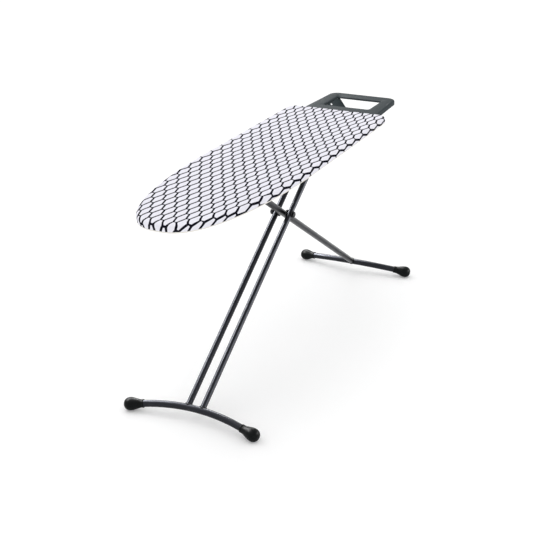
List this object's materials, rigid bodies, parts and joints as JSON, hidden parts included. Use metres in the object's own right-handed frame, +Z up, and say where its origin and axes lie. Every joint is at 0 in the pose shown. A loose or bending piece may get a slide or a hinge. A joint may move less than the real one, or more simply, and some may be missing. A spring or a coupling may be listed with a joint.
{
  "type": "ironing board",
  "caption": "Folding ironing board with a tapered padded top, hexagon-print cover, scissor legs with arched feet and an open iron rest.",
  "frame": {"origin": "centre of the bounding box in plan, at the floor", "axes": "+X along the board from the narrow nose to the iron rest, +Y to the left seen from the nose looking at the iron rest, +Z up"},
  "size_m": [1.51, 0.4644, 0.6948],
  "materials": {
    "cover_fabric": "woven cotton with a printed net of dark hexagon outlines",
    "felt": "needled felt",
    "panel_steel": "satin",
    "frame_steel": "satin",
    "leg_steel": "gloss metallic graphite",
    "zinc": "black zinc plate",
    "rest_plastic": "fine-grained moulding",
    "grip_plastic": "moulded",
    "bush_nylon": "black moulded nylon",
    "foot_rubber": "satin moulded rubber"
  },
  "bodies": {
    "board": {"top_panel": "panel_steel", "rim_frame": "frame_steel", "padding": "felt", "cover": "cover_fabric", "front_channel": "frame_steel", "rear_channel": "frame_steel", "rack_plate_left": "frame_steel", "rack_plate_right": "frame_steel", "rack_rivets": "zinc", "hinge_ear_left": "frame_steel", "hinge_ear_right": "frame_steel", "hinge_pin": "zinc", "hinge_clips": "zinc", "comb_bearings": "frame_steel", "iron_rest": "rest_plastic", "rest_spacers": "frame_steel", "rest_arm_left": "frame_steel", "rest_arm_right": "frame_steel", "rest_screws": "zinc", "rest_gusset_left": "rest_plastic", "rest_gusset_right": "rest_plastic", "rest_tie": "frame_steel"},
    "release_lever": {"lever_rod": "zinc", "locking_comb": "frame_steel", "lever_grip": "grip_plastic", "return_spring": "zinc"},
    "front_leg": {"front_foot_bar": "leg_steel", "front_cap_left": "foot_rubber", "front_cap_right": "foot_rubber", "front_sleeve": "leg_steel", "front_tube_left": "leg_steel", "front_tube_right": "leg_steel", "pivot_bolt": "zinc", "pivot_nut": "zinc", "pivot_washers": "zinc", "pivot_spacers": "bush_nylon"},
    "rear_leg": {"rear_foot_bar": "leg_steel", "rear_cap_left": "foot_rubber", "rear_cap_right": "foot_rubber", "rear_tube": "leg_steel", "pivot_bush": "bush_nylon", "slide_axle": "zinc", "slide_bushes": "bush_nylon", "axle_clips": "zinc"}
  },
  "joints": [
    {"name": "leg_fold", "type": "hinge", "parent": "board", "child": "front_leg", "pos_m": [0.32544, 0, 0.6508], "axis": [0, 1, 0], "range_deg": [-17.4, 29.6]},
    {"name": "scissor_pivot", "type": "hinge", "parent": "front_leg", "child": "rear_leg", "pos_m": [0.0345, 0, 0.4575], "axis": [0, 1, 0], "range_deg": [-59.3, 34.9]},
    {"name": "release_lever_turn", "type": "hinge", "parent": "board", "child": "release_lever", "pos_m": [-0.2, 0, 0.6748], "axis": [1, 0, 0], "range_deg": [0, 12], "stiffness_Nm_per_rad": 0.5, "springref_deg": -28.65}
  ],
  "couplings": [
    {"joint": "scissor_pivot", "follows": "leg_fold", "ratio": -2}
  ]
}
